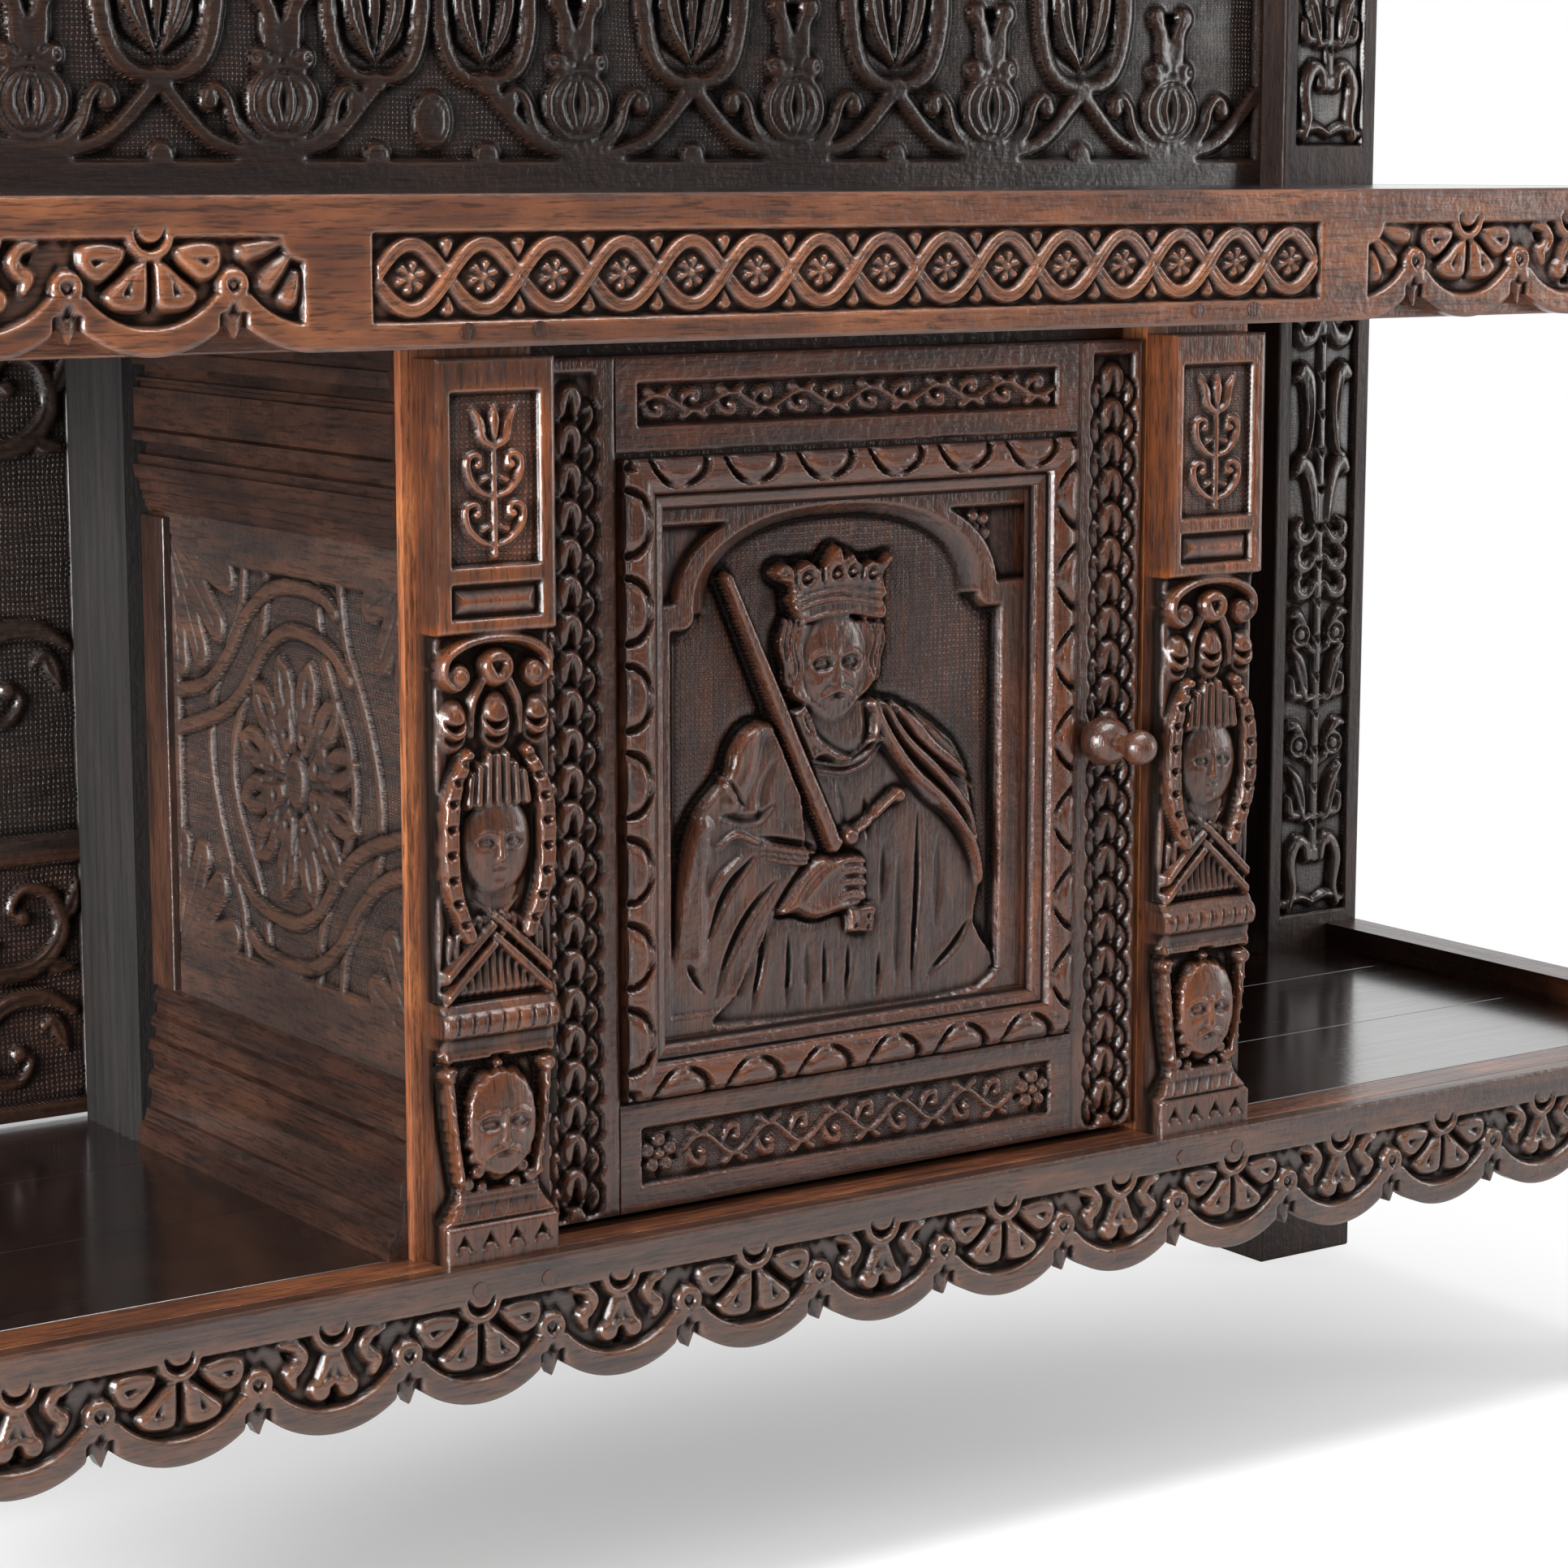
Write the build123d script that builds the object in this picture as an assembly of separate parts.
from build123d import *
import math
import os

# Court cupboard of dark oak: two open shelves on turned front supports and carved rear
# posts, with a small cupboard between the shelves. Millimetres; X runs along the front,
# Y from front to back and Z up. Z = 0 is the floor, and the origin is the middle of the
# space that the piece takes up. Depths are counted from the front of the carved boards.

# Overall sizes
width = 1500.0  # over the rear posts and the carved boards
depth = 458.0  # front of the carved boards to the back of the rear posts
shelf_height = 247.0  # floor to the top of the lower shelf
lower_bay = 512.0  # lower shelf to the underside of the middle rail
upper_bay = 370.0  # middle shelf to the underside of the top rail
rail_height = 82.0  # middle and top carved boards
apron_height = 79.0  # lower carved board

# Frame members
rear_post_width = 93.0
rear_post_depth = 64.0
corner_post = 66.0  # square section of the feet and of the blocks of the supports
fascia_thick = 12.0  # carved boards planted on the front
core_thick = 31.0  # rails behind the carved boards
core_height = 60.0  # lower core rail
end_rail_thick = 32.0
end_lip = 19.4  # how far the lower end rails stand above the shelf
shelf_thick = 20.0
shelf_boards = 3
back_rail_height = 42.0
back_rail_thick = 24.0
back_board_thick = 12.0
back_board_gap = 3.0  # slit between the lower shelf and the back boards
back_board_split = 178.5  # height of the joint between the back boards above the shelf
upper_panel_thick = 14.0
upper_panel_set = 38.0  # back of the posts to the face of the upper panel
upper_panel_split = 216.0  # height of the joint in the upper panel above the middle shelf
top_thick = 20.0
top_overhang = 14.0
cornice_height = 22.0
cornice_reach = 11.0
cornice_step = 2.5
cornice_fillet = 4.5

# Carved edge
scallop_count = 16  # over the whole width, an even number
scallop_margin = 6.8  # plain end past the last scallop
scallop_rise = 21.0  # from the lowest point of a scallop up to a cusp
carved_band = 14.0  # plain band that follows the scallops
carved_depth = 5.0
ring_radius = 12.0  # round boss above each cusp
ring_rise = 36.0  # its centre above the lowest point of the scallops
top_band = 21.0  # plain band along the top of a carved board
drop_half = 6.5  # pointed drop under each cusp
drop_length = 14.0
straight_scallops = 4  # scallops each side that the straight middle of the middle board replaces
title_end = 34.6  # end of that straight middle to the end of the sunk field in it
title_foot = 14.0  # margin under the sunk field
title_head = 19.7  # margin over it
run_margin = 5.4  # end of the straight middle to the start of a carved side run

# Carved fields of the rear posts
post_field_margin = 12.0
post_field_foot = 28.0
post_field_head = 6.0

# Cupboard between the shelves
opening_half = 222.0  # middle to the inner face of the front posts
front_post_width = 82.0
front_post_set = 32.0  # front of the carved boards to the front posts
front_post_depth = 48.0
front_post_lip = 7.0  # front edge of a post that covers the ends of its side
side_thick = 24.0
side_top_rail = 115.0  # visible height
side_bottom_rail = 101.0
side_muntin = 31.0
side_stile = 82.0  # reeded stile at the back of a side
side_stile_proud = 13.0
reed_count = 6
reed_rise = 3.0
reed_margin = 5.0
side_panel_thick = 10.0
side_panel_sunk = 5.0
head_rail_lap = 14.0  # how far the rail over the door hangs behind its top
head_rail_thick = 23.0
side_panel_wear = 0.4

# Mouldings of the sides, as steps of height above the rail's foot and reach from the face
top_steps = [(0, -6.0), (4, -4.5), (5, -3.5), (9, -3.5), (9.5, -2.0), (14, -2.0), (15, -0.5), (21, 0.5),
             (23, 3.0), (31, 4.0), (31.5, 0.0), (37, 1.0), (38, -5.0), (45, -6.0), (46, 4.0), (52, 4.5),
             (53, 0.5), (54, 2.5), (78, 2.5), (78.5, -2.5), (81, -2.5), (82, 0.5), (84, 0.5), (84.5, -5.0),
             (91, -6.0), (92, 3.0), (101, 4.5), (102, 2.0), (115, 2.0)]
bottom_steps = [(0, 12.0), (12, 12.0), (15, 8.0), (22, 6.0), (23, 3.5), (33, 2.5), (35, 5.0), (44, 4.0),
                (47, 0.5), (58, 1.5), (60, 4.0), (66, 3.0), (68, -1.0), (73, -1.5), (75, 2.0), (81, 0.5),
                (83, -2.5), (88, -3.0), (90, -0.5), (95, -1.0), (101, -5.0)]

# Pilasters on the front posts, from the shelf upwards; the head block takes the rest
pilaster_width = 75.0
pilaster_back = 12.0  # thickness of the ground board
pilaster_relief = 14.0  # how far the blocks stand in front of it
pilaster_clear = 6.0  # under the middle rail
base_height = 23.5
shoe_height = 16.5
stage_height = 83.0
roll_height = 26.0
bust_height = 141.0
capital_height = 66.0
stage_foot = 48.0  # width of the tapering stage at its foot
stage_head = 66.0
part_rounding = 6.0  # front corners of the capital and the bust
head_field_margin = 11.0  # sides of the sunk fields in the head block
head_field_foot = 36.0
head_field_head = 18.0
jewel_foot = 8.0
jewel_height = 19.0
jewel_sunk = 3.0

# Door
door_set = 31.0  # front of the carved boards to the face of the door
door_thick = 24.0
door_side_gap = 4.0
door_low_gap = 5.5
door_high_gap = 9.0
stile_width = 51.0
bottom_rail_height = 64.5
top_rail_height = 55.0
door_panel_thick = 12.0
door_panel_sunk = 9.0
groove_depth = 7.0
moulding_gap = 3.0
moulding_width = 31.0
moulding_proud = 9.0
title_margin = 9.0  # ends of the sunk fields in the door rails
title_edge = 15.0
title_sunk = 4.0
tenon_shoulder = 12.0  # rail edge to the tenon of a door rail

# Hinges
knuckle_radius = 4.0
hinge_pin_radius = 2.0
leaf_thick = 1.4
leaf_reach = 22.0
hinge_height = 60.0
hinge_inset = 70.0
knuckle_gap = 0.4
pin_head = 1.6

# Knob and its turn-button
knob_height = 257.0  # above the shelf
knob_inset = 39.0  # door edge to the centre of the knob
bulb_radius = 15.3
bulb_reach = 15.6  # door face to the centre of the inner ball
foot_radius = 9.5
socket_depth = 15.0
ball_radius = 11.0
ball_reach = 48.4  # door face to the centre of the outer ball
neck_radius = 5.6
spindle_radius = 5.0
socket_play = 0.02  # slack of the spindle in the knob and in the turn-button
button_reach = 53.0  # axis to the tip
button_tail = 12.0  # axis to the other end
button_height = 14.0
button_thick = 9.0
button_play = 2.0  # slack of its tip in the slot of the front post

# Turned supports
block_height = 58.0
dowel_radius = 11.0
dowel_length = 26.0
cup_radius = 42.0
shaft_radius = 24.0
neck_radius_low = 17.0
bead_proud = 7.0
turning = {"collar": 0.045, "vase": 0.20, "cup": 0.36, "cover": 0.50, "ring": 0.56}  # shares of the height
shoe_high = 46.0  # square shoe of a front foot
waist_high = 96.0
waist_sunk = 6.0

# Joinery
tenon_length = 22.0
tenon_edge = 7.0  # edge of a rail to its tenon
peg_radius = 4.6
peg_proud = 0.8
peg_length = 24.0
peg_inset = 13.0  # outer edge of a front post to its first peg
peg_pitch = 45.0
peg_low = 9.0  # underside of the middle board to its pegs
peg_high = 13.0  # lower shelf to the pegs under it
edge_wear = 1.6
play = 0.2  # slack of a tenon, tongue or dowel
running = 0.06  # slack of a turning fit
touch = 0.3  # gap between faces that move past each other

# Heights and places that follow
mid_low = shelf_height + lower_bay
mid_top = mid_low + rail_height
top_low = mid_top + upper_bay
frame_top = top_low + rail_height
half = width / 2
scallop_pitch = (width - 2 * scallop_margin) / scallop_count
straight_half = straight_scallops * scallop_pitch
rear_front = depth - rear_post_depth
upper_panel_front = depth - upper_panel_set
back_board_front = depth - back_board_thick
rear_inner = half - rear_post_width
corner_inner = half - corner_post
corner_back = fascia_thick + corner_post
core_back = fascia_thick + core_thick
under_mid = mid_top - shelf_thick
cupboard_half = opening_half + front_post_width
side_inner = cupboard_half - side_thick
pilaster_inner = opening_half
pilaster_outer = opening_half + pilaster_width
pilaster_front = front_post_set - pilaster_back - pilaster_relief
pilaster_top = mid_low - pilaster_clear
door_half = opening_half - door_side_gap
door_back = door_set + door_thick
door_low = shelf_height + door_low_gap
door_top = mid_low - door_high_gap
stile_inner = door_half - stile_width
panel_low = door_low + bottom_rail_height
panel_high = door_top - top_rail_height
panel_face = door_set + door_panel_sunk
knob_x = door_half - knob_inset
knob_z = shelf_height + knob_height
knob_reach = ball_reach + ball_radius
front_reach = max(knob_reach - door_set, top_overhang)
rail_front = (front_reach - depth) / 2  # Y of the front of the carved boards
hinge_x = -door_half + 1.0
hinge_d = door_set - knuckle_radius


def block(x, d, z):
    """A plain block from its spans along X, in depth and along Z."""
    size = (x[1] - x[0], d[1] - d[0], z[1] - z[0])
    low = Pos(x[0], rail_front + d[0], z[0])
    return low * Box(*size, align=(Align.MIN, Align.MIN, Align.MIN))


def board(x, d, z, wear=edge_wear):
    """A block with worn edges."""
    thin = min(x[1] - x[0], d[1] - d[0], z[1] - z[0])
    solid = block(x, d, z)
    return fillet(solid.edges(), min(wear, thin * 0.3))


def widened(x, d, z, by=play):
    """A block that is a little larger all round, to cut a mortise or a groove."""
    return block((x[0] - by, x[1] + by), (d[0] - by, d[1] + by), (z[0] - by, z[1] + by))


def both_sides(name, solid):
    """The right piece as it is, and its mirror image as the left one."""
    return {name + "_right": solid, name + "_left": mirror(solid, about=Plane.YZ)}


def sheet(edges, plane, thick):
    """Extrude a closed outline of edges that lies in XY, placed on a plane."""
    return extrude(plane * make_face(edges), thick)


def third(low, high):
    """The middle third of a span, where a tenon goes."""
    step = (high - low) / 3
    return (low + step, high - step)


# --- carved boards ---------------------------------------------------------------------
def scallop_outline(first, last, low, high, pitch=scallop_pitch):
    """Closed outline: flat top, scalloped foot. Counts are in half pitches from the middle."""
    radius = ((pitch / 2) ** 2 + scallop_rise ** 2) / (2 * scallop_rise)
    centre_z = low + radius

    def foot(count):
        run = (count / 2 - round(count / 2)) * pitch
        return (count * pitch / 2, centre_z - math.sqrt(radius ** 2 - run ** 2))

    edges = []
    count = first
    while count < last:
        step = 1 if count % 2 == 0 or count + 1 == last else 2
        edges.append(ThreePointArc(foot(count), foot(count + step / 2), foot(count + step)))
        count += step
    corners = [foot(last), (last * pitch / 2, high), (first * pitch / 2, high), foot(first)]
    edges += [Line(a, b) for a, b in zip(corners, corners[1:])]
    return edges


def drop_outline(x, low):
    """A pointed drop under the cusp at x."""
    cusp_z = low + scallop_rise
    points = [(x - drop_half, cusp_z + 1), (x + drop_half, cusp_z + 1), (x, cusp_z - drop_length)]
    return [Line(a, b) for a, b in zip(points, points[1:] + points[:1])]


def front_plane(d):
    """The plane of the front at a depth: local X is X and local Y is Z."""
    return Plane(origin=(0, rail_front + d, 0), x_dir=(1, 0, 0), z_dir=(0, -1, 0))


def odd_cusps(first, last):
    return [count for count in range(first, last + 1) if count % 2]


def carved_run(first, last, low, high):
    """Cutter of a sunk carved run, with the round bosses left standing in it."""
    face = front_plane(carved_depth)
    cutter = sheet(scallop_outline(first, last, low + carved_band, high - top_band), face, carved_depth + 1)
    for count in odd_cusps(first, last):
        centre = Pos(count * scallop_pitch / 2, low + ring_rise)
        cutter -= extrude(face * centre * Circle(ring_radius), carved_depth + 1)
    return cutter


def scalloped_board(low, high, first=0):
    """A carved board over the full width, with its scallops from a count of half pitches on."""
    ends = scallop_count
    back = front_plane(fascia_thick)
    body = sheet(scallop_outline(first, ends, low, high), back, fascia_thick)
    body += mirror(body, about=Plane.YZ)
    if first:
        body += block((-straight_half, straight_half), (0, fascia_thick), (low, high))
    body += block((-half, -half + scallop_margin), (0, fascia_thick), (low, high))
    body += block((half - scallop_margin, half), (0, fascia_thick), (low, high))
    for count in odd_cusps(first, ends):
        for side in (-1, 1):
            body += sheet(drop_outline(side * count * scallop_pitch / 2, low), back, fascia_thick)
    return body


def plain_carved_board(low, high):
    """The carved board of the lower shelf or the frieze, scalloped from end to end."""
    run = carved_run(0, scallop_count - 1, low, high)
    return scalloped_board(low, high) - run - mirror(run, about=Plane.YZ)


def middle_carved_board():
    first = 2 * straight_scallops
    run = carved_run(first, scallop_count - 1, mid_low, mid_top)
    run -= block((0, straight_half + run_margin), (-2, fascia_thick), (mid_low, mid_top))
    title_half = straight_half - title_end
    title = block((-title_half, title_half), (-1, title_sunk), (mid_low + title_foot, mid_top - title_head))
    return scalloped_board(mid_low, mid_top, first) - run - mirror(run, about=Plane.YZ) - title


def end_rail(low, high, lip=0.0):
    """A scalloped rail between a corner post and a rear post, tenoned into both."""
    length = rear_front - corner_back
    count = max(2, round(length / scallop_pitch))
    pitch = length / count
    outline = scallop_outline(0, 2 * count, low, high + lip, pitch)
    origin = (half - end_rail_thick, rail_front + corner_back, 0)
    plane = Plane(origin=origin, x_dir=(0, 1, 0), z_dir=(1, 0, 0))
    rail = sheet(outline, plane, end_rail_thick)
    sunk = scallop_outline(0, 2 * count, low + carved_band, high - top_band, pitch)
    origin = (half - carved_depth, rail_front + corner_back, 0)
    face = Plane(origin=origin, x_dir=(0, 1, 0), z_dir=(1, 0, 0))
    cutter = sheet(sunk, face, carved_depth + 1)
    for step in range(2 * count):
        if step % 2:
            ring = face * Pos(step * pitch / 2, low + ring_rise) * Circle(ring_radius)
            cutter -= extrude(ring, carved_depth + 1)
    rail -= cutter
    for tenon in end_tenons(low, high):
        rail += block(*tenon)
    return rail


def end_tenons(low, high):
    """Tenons of an end rail, front then back."""
    x = third(half - end_rail_thick, half)
    z = (low + scallop_rise + tenon_edge, high - tenon_edge)
    front = (corner_back - tenon_length, corner_back)
    return [(x, front, z), (x, (rear_front, rear_front + tenon_length), z)]


# --- front rails and shelves -----------------------------------------------------------
def core_span(low, high):
    return ((-corner_inner, corner_inner), (fascia_thick, core_back), (low, high))


def core_rail(low, high):
    """The plain rail behind a carved board, tenoned into the corner posts."""
    rail = board(*core_span(low, high))
    for side in (-1, 1):
        rail += block(*core_tenon(low, high, side))
    return rail


def core_tenon(low, high, side):
    x = sorted((side * corner_inner, side * (corner_inner + tenon_length)))
    return (tuple(x), third(fascia_thick, core_back), (low + tenon_edge, high - tenon_edge))


def shelf(top, back):
    """Boards side by side between the core rail and the back, notched round the posts."""
    edge = half - end_rail_thick
    pieces = []
    step = (back - core_back) / shelf_boards
    for row in range(shelf_boards):
        span = (core_back + row * step, core_back + (row + 1) * step)
        plank = board((-edge, edge), span, (top - shelf_thick, top), 0.8)
        for side in (-1, 1):
            post = sorted((side * rear_inner, side * half))
            front = sorted((side * corner_inner, side * half))
            plank -= widened(tuple(post), (rear_front, depth), (0, frame_top))
            plank -= widened(tuple(front), (fascia_thick, corner_back), (0, frame_top))
        pieces.append(plank)
    return pieces


def back_span(top, back):
    return ((-rear_inner, rear_inner), (back - back_rail_thick, back), (top - back_rail_height, top))


def back_rail(top, back):
    """A rail under the back edge of a shelf, tenoned into the rear posts."""
    rail = board(*back_span(top, back))
    for side in (-1, 1):
        rail += block(*back_tenon(top, back, side))
    return rail


def back_tenon(top, back, side):
    x = sorted((side * rear_inner, side * (rear_inner + tenon_length)))
    d = third(back - back_rail_thick, back)
    return (tuple(x), d, (top - back_rail_height + tenon_edge, top - tenon_edge))


# --- posts and supports ----------------------------------------------------------------
def rear_post():
    """A rear post from the floor to the top, carved on the front above and below the shelf."""
    x = (rear_inner, half)
    post = board(x, (rear_front, depth), (0, frame_top), 2.0)
    field = (rear_inner + post_field_margin, half - post_field_margin)
    for low, high in ((shelf_height, mid_low), (mid_top, top_low)):
        span = (low + post_field_foot, high - post_field_head)
        post -= block(field, (rear_front - 1, rear_front + carved_depth), span)
    rails = ((shelf_height - apron_height, shelf_height), (mid_low, mid_top), (top_low, frame_top))
    for low, high in rails:
        post -= widened(*end_tenons(low, high)[1])
    seats = ((shelf_height - shelf_thick, back_board_front), (under_mid, back_board_front),
             (frame_top, depth))
    for top, back in seats:
        post -= widened(*back_tenon(top, back, 1))
    tongue = (upper_panel_front, upper_panel_front + upper_panel_thick)
    post -= widened((rear_inner - 1, rear_inner + groove_depth), tongue, (mid_top, frame_top))
    return post


def corner_mortises(low, high, core_low):
    """What the end rail and the core rail of one shelf cut from a corner post."""
    return [widened(*end_tenons(low, high)[0]), widened(*core_tenon(core_low, high, 1))]


def front_foot():
    """A square foot with a moulded shoe, and a socket in its top for the support."""
    x = (corner_inner, half)
    d = (fascia_thick, corner_back)
    foot = board(x, d, (0, shelf_height), 2.0)
    waist = (shoe_high, waist_high)
    inner = block((x[0] + waist_sunk, x[1] - waist_sunk), (d[0] + waist_sunk, d[1] - waist_sunk), waist)
    foot -= widened(x, d, waist, 0) - inner
    for cutter in corner_mortises(shelf_height - apron_height, shelf_height, shelf_height - core_height):
        foot -= cutter
    return foot - dowel(shelf_height, play)


def dowel(top, slack=0.0):
    """The dowel of a support, that stands in the post below it."""
    centre = Pos((corner_inner + half) / 2, rail_front + (fascia_thick + corner_back) / 2, top)
    return centre * Cylinder(dowel_radius + slack, dowel_length + slack,
                             align=(Align.CENTER, Align.CENTER, Align.MAX))


def turned_outline(low, high):
    """Half outline of a cup-and-cover baluster between two heights, as edges in radius and height."""
    level = {name: low + share * (high - low) for name, share in turning.items()}
    collar = level["collar"] - low
    shaft_top = high - 2 * collar
    ring_top = level["ring"] + collar
    cup, neck, shaft, bead = cup_radius, neck_radius_low, shaft_radius, shaft_radius + bead_proud
    slim = shaft - bead_proud / 2
    return [Line((0, low), (shaft, low)),
            ThreePointArc((shaft, low), (bead, low + collar / 2), (shaft, low + collar)),
            ThreePointArc((shaft, low + collar), (neck, (low + collar + level["vase"]) / 2),
                          (shaft, level["vase"])),
            ThreePointArc((shaft, level["vase"]), (cup * 0.9, level["vase"] * 0.62 + level["cup"] * 0.38),
                          (cup, level["cup"])),
            ThreePointArc((cup, level["cup"]), (cup * 0.78, level["cup"] * 0.4 + level["cover"] * 0.6),
                          (neck, level["cover"])),
            Line((neck, level["cover"]), (neck, level["ring"])),
            ThreePointArc((neck, level["ring"]), (neck + bead_proud, level["ring"] + collar / 2),
                          (neck, ring_top)),
            ThreePointArc((neck, ring_top), (shaft, (ring_top + shaft_top) / 2), (slim, shaft_top)),
            Line((slim, shaft_top), (shaft, shaft_top)),
            ThreePointArc((shaft, shaft_top), (bead, shaft_top + collar / 2), (shaft, shaft_top + collar)),
            ThreePointArc((shaft, shaft_top + collar), (slim, (shaft_top + collar + high) / 2),
                          (shaft, high)),
            Line((shaft, high), (0, high)),
            Line((0, high), (0, low))]


def support(low, rail_low, rail_top, lip=0.0):
    """A turned support: block, baluster and the block that the rails of the next shelf join."""
    x = (corner_inner, half)
    d = (fascia_thick, corner_back)
    foot = board(x, d, (low, low + block_height), 2.0)
    head = board(x, d, (rail_low - block_height / 2, rail_top), 2.0)
    turned_low = low + block_height
    turned_high = rail_low - block_height / 2
    upright = Plane(origin=(0, 0, 0), x_dir=(1, 0, 0), z_dir=(0, -1, 0))
    baluster = revolve(upright * make_face(turned_outline(turned_low, turned_high)), Axis.Z, 360)
    baluster = Pos((x[0] + x[1]) / 2, rail_front + (d[0] + d[1]) / 2, 0) * baluster
    solid = foot + baluster + head + dowel(low)
    for cutter in corner_mortises(rail_low, rail_top, rail_low):
        solid -= cutter
    return solid


# --- upper stage -----------------------------------------------------------------------
def upper_panel():
    """Two boards behind the upper stage, tongued into the rear posts."""
    edge = rear_inner + groove_depth - play
    d = (upper_panel_front, upper_panel_front + upper_panel_thick)
    joint = mid_top + upper_panel_split
    levels = ((mid_top, joint), (joint, frame_top))
    return [board((-edge, edge), d, level, 0.5) for level in levels]


def cornice():
    """A cove moulding under the top, mitred round the front and the two ends."""
    high = frame_top
    low = high - cornice_height
    reach = cornice_reach
    fillet_high = low + cornice_fillet
    outline = [Line((0, low), (-cornice_step, low)),
               Line((-cornice_step, low), (-cornice_step, fillet_high)),
               ThreePointArc((-cornice_step, fillet_high), (-reach * 0.38, low + cornice_height * 0.6),
                             (-reach, high - cornice_fillet)),
               Line((-reach, high - cornice_fillet), (-reach, high)),
               Line((-reach, high), (0, high)),
               Line((0, high), (0, low))]
    side_plane = Plane(origin=(-half - reach, rail_front, 0), x_dir=(0, 1, 0), z_dir=(1, 0, 0))
    front = extrude(side_plane * make_face(outline), width + 2 * reach)
    end_plane = Plane(origin=(half, rail_front - reach, 0), x_dir=(-1, 0, 0), z_dir=(0, 1, 0))
    end = extrude(end_plane * make_face(outline), rear_front + reach)
    mitre = extrude(Pos(0, 0, low - 1) * make_face(Polyline(
        (half, rail_front), (half + 2 * reach, rail_front - 2 * reach),
        (half + 2 * reach, rail_front + depth), (half, rail_front + depth), close=True)), cornice_height + 2)
    end = end & mitre
    front = front - mitre - mirror(mitre, about=Plane.YZ)
    return [front, end, mirror(end, about=Plane.YZ)]


def top_board():
    x = half + top_overhang
    return board((-x, x), (-top_overhang, depth), (frame_top, frame_top + top_thick), 4.0)


# --- cupboard sides --------------------------------------------------------------------
def front_post():
    """The post that the pilaster is planted on, rebated for the end of the side."""
    x = (opening_half, cupboard_half)
    low = block(x, (front_post_set, front_post_set + front_post_depth), (shelf_height, under_mid))
    low -= block(*core_span(mid_low, mid_top))
    rebate_d = (front_post_set + front_post_lip, front_post_set + front_post_depth + 1)
    low -= block((side_inner, cupboard_half + 1), rebate_d, (shelf_height - 1, under_mid + 1))
    low -= widened(*head_tenon(1))
    return low


def button_slot():
    """The slot in the right front post that the end of the turn-button swings into."""
    d = (door_back + touch - button_play, door_back + touch + button_thick + button_play)
    rise = math.sqrt(button_reach ** 2 + (button_height / 2) ** 2 - (opening_half - knob_x) ** 2)
    z = (knob_z - button_height / 2 - button_play, knob_z + rise + button_play)
    return block((opening_half - 1, knob_x + button_reach + button_play), d, z)


def head_tenon(side):
    x = sorted((side * opening_half, side * (opening_half + tenon_length)))
    d = third(door_back + touch, door_back + touch + head_rail_thick)
    return (tuple(x), d, (door_top - head_rail_lap + tenon_edge, under_mid - tenon_edge))


def head_rail():
    """The rail over the door, whose front stops the door."""
    d = (door_back + touch, door_back + touch + head_rail_thick)
    rail = board((-opening_half, opening_half), d, (door_top - head_rail_lap, under_mid))
    return rail + block(*head_tenon(-1)) + block(*head_tenon(1))


def side_span():
    return (front_post_set + front_post_lip, back_board_front - side_stile)


def moulded_rail(steps, low, rise, high):
    """A rail of a side, its outer face run with mouldings from low over a rise and plain to high."""
    start, end = side_span()
    scale = rise / steps[-1][0]
    points = [(side_inner, low)]
    points += [(cupboard_half + reach, low + level * scale) for level, reach in steps]
    if high > low + rise:
        points.append((points[-1][0], high))
    points.append((side_inner, high))
    outline = Polyline(*points, close=True)
    plane = Plane(origin=(0, rail_front + start, 0), x_dir=(1, 0, 0), z_dir=(0, -1, 0))
    return extrude(plane * make_face(outline), -(end - start))


def side_top():
    """The upper rail of a side: two runs of quirk, ovolo and cove, and reeds above the panel."""
    low = mid_low - side_top_rail
    return moulded_rail(top_steps, low, side_top_rail, under_mid) - block(*core_span(mid_low, mid_top))


def side_bottom():
    """The lower rail of a side: reeds and beads that step out to a plinth."""
    top = shelf_height + side_bottom_rail
    return moulded_rail(bottom_steps, shelf_height, side_bottom_rail, top)


def side_levels():
    return (shelf_height + side_bottom_rail, mid_low - side_top_rail)


def muntin_span():
    return (side_span()[1] - side_muntin, side_span()[1])


def side_panel_box(slack):
    """The sunk panel of a side with its tongues, or the groove for it."""
    face = cupboard_half - side_panel_sunk
    low, high = side_levels()
    d = (side_span()[0], muntin_span()[0] + groove_depth - slack)
    z = (low - groove_depth + slack, high + groove_depth - slack)
    return ((face - side_panel_thick, face), d, z)


def side_panel():
    return board(*side_panel_box(play), wear=side_panel_wear)


def side_muntin_piece():
    low, high = side_levels()
    piece = board((side_inner, cupboard_half), muntin_span(), (low, high), 1.2)
    return piece - block(*side_panel_box(0.0))


def rear_stile():
    """The reeded stile at the back of a side."""
    start = side_span()[1]
    face = cupboard_half + side_stile_proud - reed_rise
    pitch = (side_stile - 2 * reed_margin) / reed_count
    edges = []
    for reed in range(reed_count):
        a = start + reed_margin + reed * pitch
        edges.append(ThreePointArc((face, a), (face + reed_rise, a + pitch / 2), (face, a + pitch)))
    last = start + reed_margin + reed_count * pitch
    corners = [(face, last), (face, back_board_front), (side_inner, back_board_front), (side_inner, start),
               (face, start), (face, start + reed_margin)]
    edges += [Line(a, b) for a, b in zip(corners, corners[1:])]
    stile = extrude(Pos(0, rail_front, shelf_height) * make_face(edges), under_mid - shelf_height)
    return stile - block(*back_span(under_mid, back_board_front))


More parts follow.
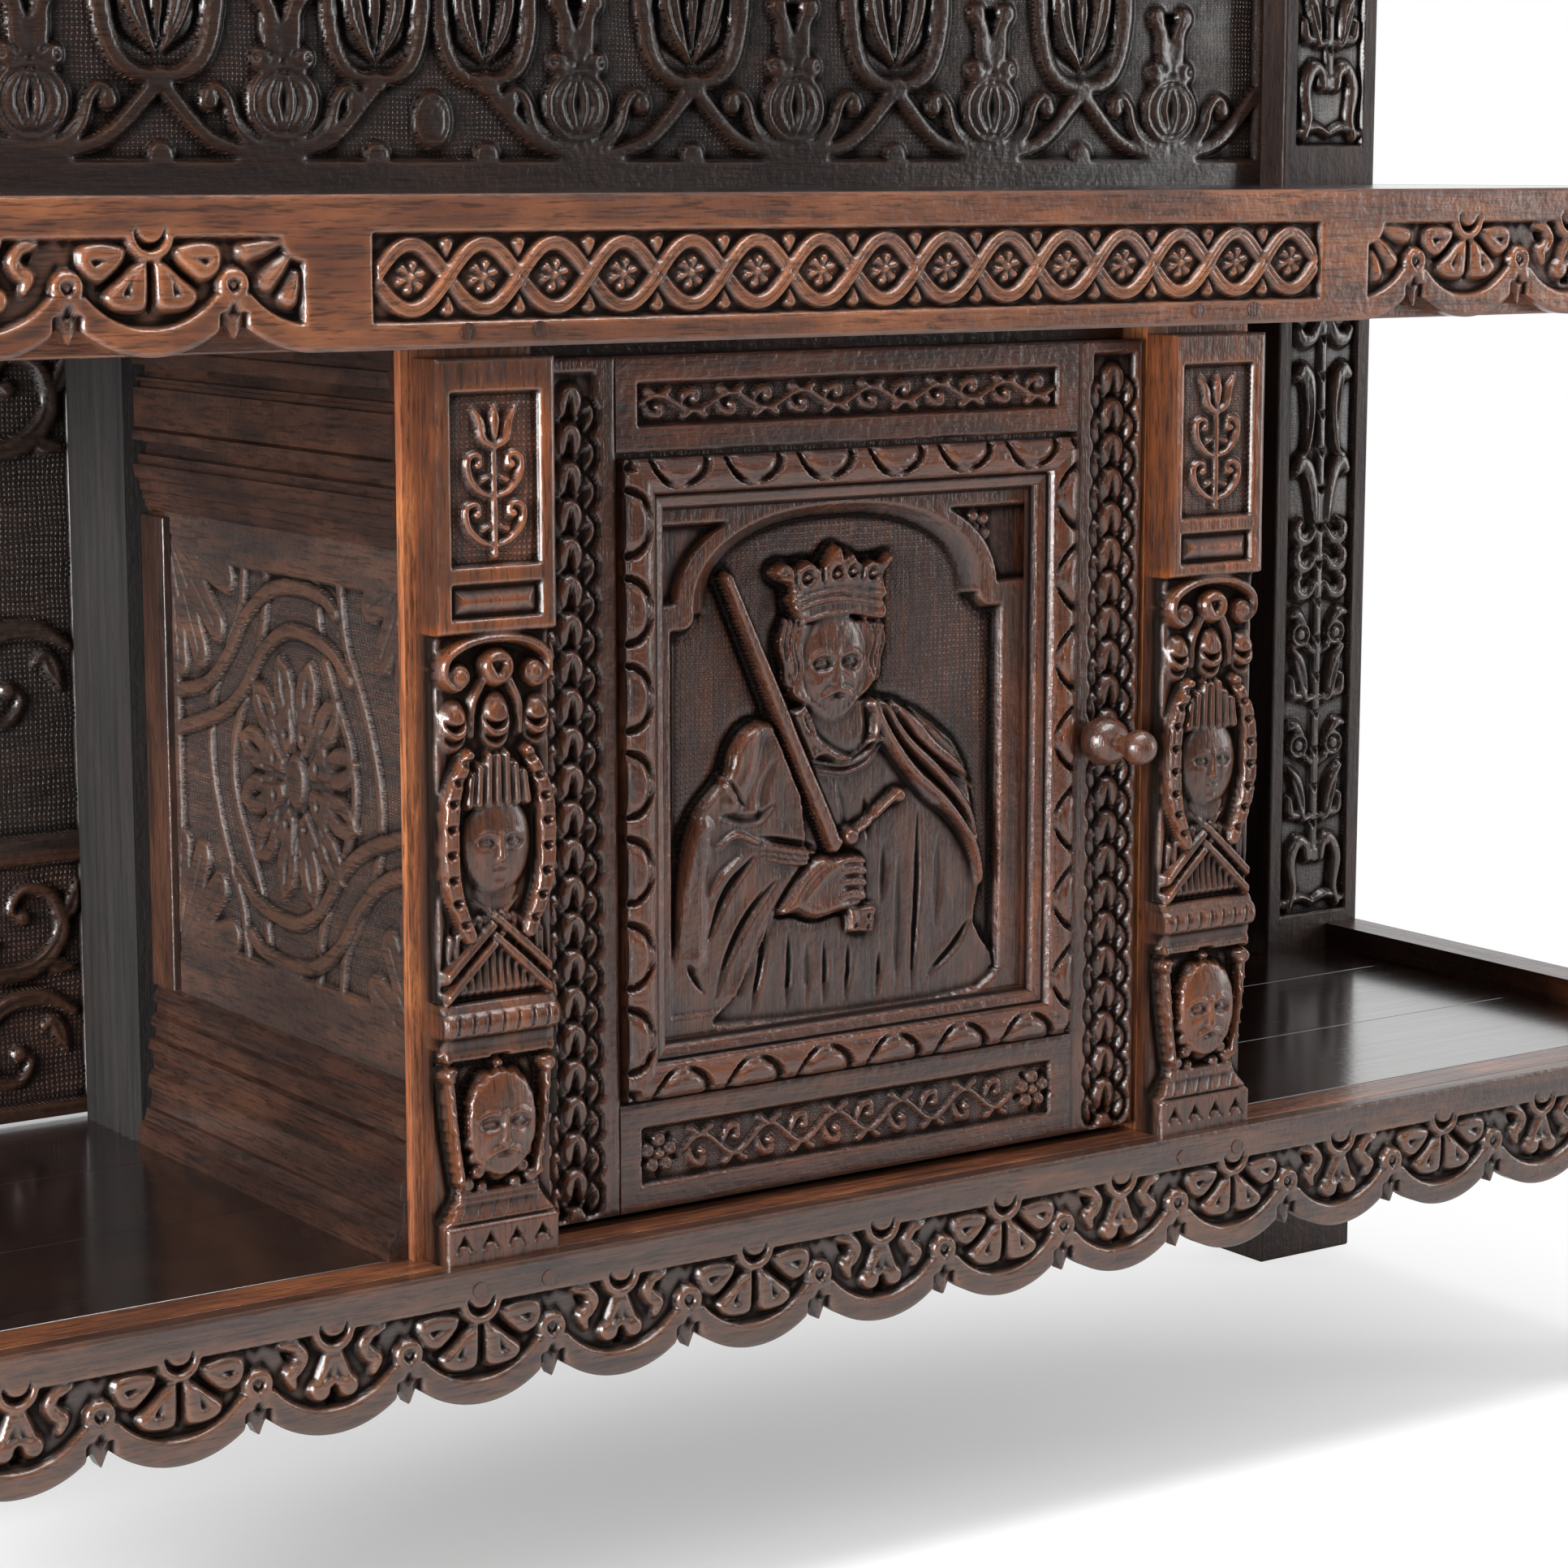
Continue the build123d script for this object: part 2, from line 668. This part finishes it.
# --- pilasters -------------------------------------------------------------------------
def pilaster():
    """A carved term: head block, capital, bust, roll, tapering stage and base on a ground board."""
    x = (pilaster_inner, pilaster_outer)
    middle = (x[0] + x[1]) / 2
    back = front_post_set - pilaster_back
    face = pilaster_front
    level = shelf_height
    shape = block(x, (back, front_post_set), (level, pilaster_top))
    shape += block(x, (face + 1, back), (level, level + base_height))
    level += base_height
    tapers = ((shoe_height, stage_head, stage_foot), (stage_height, stage_foot, stage_head))
    for height, low_width, high_width in tapers:
        corners = [(middle - low_width / 2, level), (middle + low_width / 2, level),
                   (middle + high_width / 2, level + height), (middle - high_width / 2, level + height)]
        taper = make_face(Polyline(*corners, close=True))
        shape += extrude(front_plane(back) * taper, back - face - 4)
        level += height
    roll = block(x, (face - 1, back), (level, level + roll_height))
    shape += fillet(roll.edges().filter_by(Axis.X).group_by(Axis.Y)[0], part_rounding - 1)
    level += roll_height
    for height, inset, set_back in ((bust_height, 7.0, 4.0), (capital_height, 4.0, 3.0)):
        form = block((x[0] + inset, x[1] - inset), (face + set_back, back), (level, level + height))
        shape += fillet(form.edges().filter_by(Axis.Z).group_by(Axis.Y)[0], part_rounding)
        level += height
    shape += board(x, (face, back), (level, pilaster_top), 1.2)
    field = (x[0] + head_field_margin, x[1] - head_field_margin)
    title = (level + head_field_foot, pilaster_top - head_field_head)
    shape -= block(field, (face - 1, face + title_sunk), title)
    jewel = (level + jewel_foot, level + jewel_foot + jewel_height)
    return shape - block(field, (face - 1, face + jewel_sunk), jewel)


# --- back ------------------------------------------------------------------------------
def back_board(low, high):
    edge = rear_inner - play
    return board((-edge, edge), (back_board_front, depth), (low, high), 0.8)


# --- door ------------------------------------------------------------------------------
def door_tenon(side, low, high):
    x = sorted((side * stile_inner, side * (stile_inner + tenon_length)))
    return (tuple(x), third(door_set, door_back), (low + tenon_shoulder, high - tenon_shoulder))


def door_panel_box(slack):
    edge = stile_inner + groove_depth - slack
    z = (panel_low - groove_depth + slack, panel_high + groove_depth - slack)
    return ((-edge, edge), (panel_face, panel_face + door_panel_thick), z)


def door_stile(side):
    """A stile of the door with its mortises and its groove for the panel."""
    x = tuple(sorted((side * stile_inner, side * door_half)))
    stile = board(x, (door_set, door_back), (door_low, door_top))
    for low, high in ((door_low, panel_low), (panel_high, door_top)):
        stile -= widened(*door_tenon(side, low, high))
    stile -= widened(*door_panel_box(0.0), by=0.01)
    if side > 0:
        bore = on_door(Cylinder(spindle_radius + running, 4 * door_thick))
        stile -= bore
    return stile


def door_rail(low, high):
    """A rail of the door with a sunk field along it, tenoned into the stiles."""
    rail = board((-stile_inner, stile_inner), (door_set, door_back), (low, high), 1.2)
    for side in (-1, 1):
        rail += block(*door_tenon(side, low, high))
    rail -= widened(*door_panel_box(0.0), by=0.01)
    field = (-stile_inner + title_margin, stile_inner - title_margin)
    return rail - block(field, (door_set - 1, door_set + title_sunk), (low + title_edge, high - title_edge))


def door_mouldings():
    """Four mitred lengths of a raised moulding that lie on the panel inside the door frame."""
    outer_x = stile_inner - moulding_gap
    outer_z = ((panel_low + moulding_gap), (panel_high - moulding_gap))
    thick = door_panel_sunk + moulding_proud
    middle_z = (outer_z[0] + outer_z[1]) / 2
    tall = (outer_z[1] - outer_z[0]) / 2
    round_width = moulding_width * 0.8
    profile = [Line((0, 0), (0, thick * 0.55)),
               ThreePointArc((0, thick * 0.55), (round_width / 2, thick), (round_width, thick * 0.5)),
               Line((round_width, thick * 0.5), (moulding_width, thick * 0.18)),
               Line((moulding_width, thick * 0.18), (moulding_width, 0)),
               Line((moulding_width, 0), (0, 0))]
    pieces = []
    sides = ((0, tall, outer_x), (90, outer_x, tall), (180, tall, outer_x), (270, outer_x, tall))
    for turn, reach, length in sides:
        plane = Plane(origin=(-length, 0, -reach), x_dir=(0, 0, 1), z_dir=(1, 0, 0))
        bar = extrude(plane * make_face(profile), 2 * length)
        inner = moulding_width - reach
        wedge = make_face(Polyline((-length, -reach), (length, -reach), (length - moulding_width, inner),
                                   (moulding_width - length, inner), close=True))
        wedge_plane = Plane(origin=(0, 0, 0), x_dir=(1, 0, 0), z_dir=(0, -1, 0))
        bar = bar & extrude(wedge_plane * wedge, thick + 1)
        bar = Rot(0, turn, 0) * bar
        pieces.append(Pos(0, rail_front + panel_face, middle_z) * bar)
    return pieces


# --- hinges ----------------------------------------------------------------------------
def hinge_levels():
    return (door_low + hinge_inset, door_top - hinge_inset - hinge_height)


def upright_rod(radius):
    """A rod as tall as a hinge that stands on its centre."""
    return Cylinder(radius, hinge_height, align=(Align.CENTER, Align.CENTER, Align.MIN))


def hinge_parts():
    """Two butt hinges: leaves on the door, leaves on the post, and their pins."""
    door_leaves, post_leaves, pins = [], [], []
    step = hinge_height / 3
    for low in hinge_levels():
        centre = Pos(hinge_x, rail_front + hinge_d, low)
        bore = centre * upright_rod(hinge_pin_radius + running)
        barrels = []
        for part in range(3):
            start = low + part * step + (knuckle_gap / 2 if part else 0)
            tall = step - (knuckle_gap / 2 if part != 1 else knuckle_gap)
            barrel = Pos(hinge_x, rail_front + hinge_d, start) * Cylinder(
                knuckle_radius, tall, align=(Align.CENTER, Align.CENTER, Align.MIN))
            barrels.append((barrel, (start, start + tall)))
        reach = (hinge_d, hinge_d + knuckle_radius + leaf_reach)
        post_x = (-opening_half, -opening_half + leaf_thick)
        door_x = (-door_half - leaf_thick, -door_half)
        post_leaf = block(post_x, reach, barrels[0][1]) + barrels[0][0]
        upper = block(post_x, reach, barrels[2][1]) + barrels[2][0]
        joined = block(post_x, (hinge_d + knuckle_radius + 1.5, reach[1]), (low, low + hinge_height))
        post_leaves.append(post_leaf + upper + joined - bore)
        middle = block(door_x, (hinge_d + 2.4, reach[1]), barrels[1][1]) + barrels[1][0]
        plate = block(door_x, (hinge_d + knuckle_radius + 1.5, reach[1]), (low, low + hinge_height))
        door_leaves.append(middle + plate - bore)
        pin = centre * upright_rod(hinge_pin_radius)
        cap = Pos(hinge_x, rail_front + hinge_d, low + hinge_height) * Cylinder(
            knuckle_radius - 0.6, pin_head, align=(Align.CENTER, Align.CENTER, Align.MIN))
        pins.append(pin + cap)
    return door_leaves, post_leaves, pins


# --- knob ------------------------------------------------------------------------------
def on_door(solid):
    """Turn a shape whose height is its reach from the door into its place on the stile."""
    return Pos(knob_x, rail_front + door_set, knob_z) * Rot(90, 0, 0) * solid


def knob():
    """Two balls turned on one neck over a foot, with a socket for the spindle in the inner ball."""
    upward = (Align.CENTER, Align.CENTER, Align.MIN)
    foot = Pos(0, 0, touch) * Cylinder(foot_radius, bulb_reach - touch, align=upward)
    bulb = Pos(0, 0, bulb_reach) * Sphere(bulb_radius)
    neck = Pos(0, 0, bulb_reach) * Cylinder(neck_radius, ball_reach - bulb_reach, align=upward)
    ball = Pos(0, 0, ball_reach) * Sphere(ball_radius)
    socket = Pos(0, 0, touch) * Cylinder(spindle_radius + socket_play, socket_depth, align=upward)
    return on_door(foot + bulb + neck + ball - socket)


def spindle():
    tail = door_thick + touch + button_thick + touch
    rod = Pos(0, 0, -tail) * Cylinder(spindle_radius, tail + socket_depth,
                                      align=(Align.CENTER, Align.CENTER, Align.MIN))
    return on_door(rod)


def turn_button():
    """The wooden button behind the door that the knob turns, upright while the door is free."""
    x = (knob_x - button_height / 2, knob_x + button_height / 2)
    d = (door_back + touch, door_back + touch + button_thick)
    bar = board(x, d, (knob_z - button_tail, knob_z + button_reach), 2.0)
    bore = on_door(Cylinder(spindle_radius + socket_play, 4 * door_thick))
    return bar - bore


# --- pegs ------------------------------------------------------------------------------
def pegs():
    """Heads of the oak pegs that pin the tenons, standing a little proud of the front."""
    outer = opening_half + peg_inset
    levels = (mid_low + peg_low, shelf_height - peg_high)
    places = [(x, z) for x in (outer, outer + peg_pitch) for z in levels]
    places += [(-x, z) for x, z in places]
    rod = Rot(-90, 0, 0) * Cylinder(peg_radius, peg_length, align=(Align.CENTER, Align.CENTER, Align.MIN))
    return [Pos(x, rail_front - peg_proud, z) * rod for x, z in places]


def drilled(solid, holes):
    for hole in holes:
        solid -= hole
    return solid


# --- assembly --------------------------------------------------------------------------
def build():
    heads = pegs()
    apron_low = shelf_height - apron_height
    frame_low = shelf_height - core_height
    door_leaves, post_leaves, pins = hinge_parts()
    right_post = front_post()
    left_post = mirror(right_post, about=Plane.YZ)
    parts = {
        "bottom_fascia": drilled(plain_carved_board(apron_low, shelf_height), heads),
        "bottom_front_rail": drilled(core_rail(frame_low, shelf_height), heads),
        "bottom_shelf_boards": shelf(shelf_height, depth),
        "bottom_back_rail": back_rail(shelf_height - shelf_thick, back_board_front),
        "mid_fascia": drilled(middle_carved_board(), heads),
        "mid_front_rail": drilled(core_rail(mid_low, mid_top), heads),
        "mid_shelf_boards": shelf(mid_top, back_board_front),
        "mid_back_rail": back_rail(under_mid, back_board_front),
        "frieze_fascia": plain_carved_board(top_low, frame_top),
        "top_front_rail": core_rail(top_low, frame_top),
        "top_back_rail": back_rail(frame_top, depth),
        "top_board": top_board(),
        "cornice_moulding": cornice(),
        "upper_back_panel": upper_panel(),
        "lower_back_upper_board": back_board(shelf_height + back_board_split, under_mid),
        "lower_back_lower_board": back_board(shelf_height + back_board_gap, shelf_height + back_board_split),
        "front_post_right": right_post - button_slot(),
        "front_post_left": left_post,
        "cupboard_head_rail": head_rail(),
        "door_stile_left": door_stile(-1),
        "door_stile_right": door_stile(1),
        "door_bottom_rail": door_rail(door_low, panel_low),
        "door_top_rail": door_rail(panel_high, door_top),
        "door_panel": block(*door_panel_box(play)),
        "door_mouldings": door_mouldings(),
        "hinge_door_leaves": door_leaves,
        "hinge_post_leaves": post_leaves,
        "hinge_pins": pins,
        "door_knob": knob(),
        "knob_spindle": spindle(),
        "turn_button": turn_button(),
        "frame_pegs": heads,
    }
    parts.update(both_sides("rear_post", rear_post()))
    parts.update(both_sides("front_foot", front_foot()))
    parts.update(both_sides("lower_support", support(shelf_height, mid_low, mid_top) - dowel(mid_top, play)))
    parts.update(both_sides("upper_support", support(mid_top, top_low, frame_top)))
    parts.update(both_sides("bottom_end_rail", end_rail(apron_low, shelf_height, end_lip)))
    parts.update(both_sides("mid_end_rail", end_rail(mid_low, mid_top)))
    parts.update(both_sides("top_end_rail", end_rail(top_low, frame_top)))
    parts.update(both_sides("side_top_rail", side_top() - block(*side_panel_box(0.0))))
    parts.update(both_sides("side_bottom_rail", side_bottom() - block(*side_panel_box(0.0))))
    parts.update(both_sides("side_panel", side_panel()))
    parts.update(both_sides("side_muntin", side_muntin_piece()))
    parts.update(both_sides("side_rear_stile", rear_stile()))
    parts.update(both_sides("pilaster", pilaster()))
    return parts


def main():
    os.makedirs("parts", exist_ok=True)
    for name, shape in build().items():
        solids = shape if isinstance(shape, list) else [shape]
        solids = [solid for group in solids for solid in group.solids()]
        export_step(Compound(children=solids), "parts/" + name + ".step")


main()
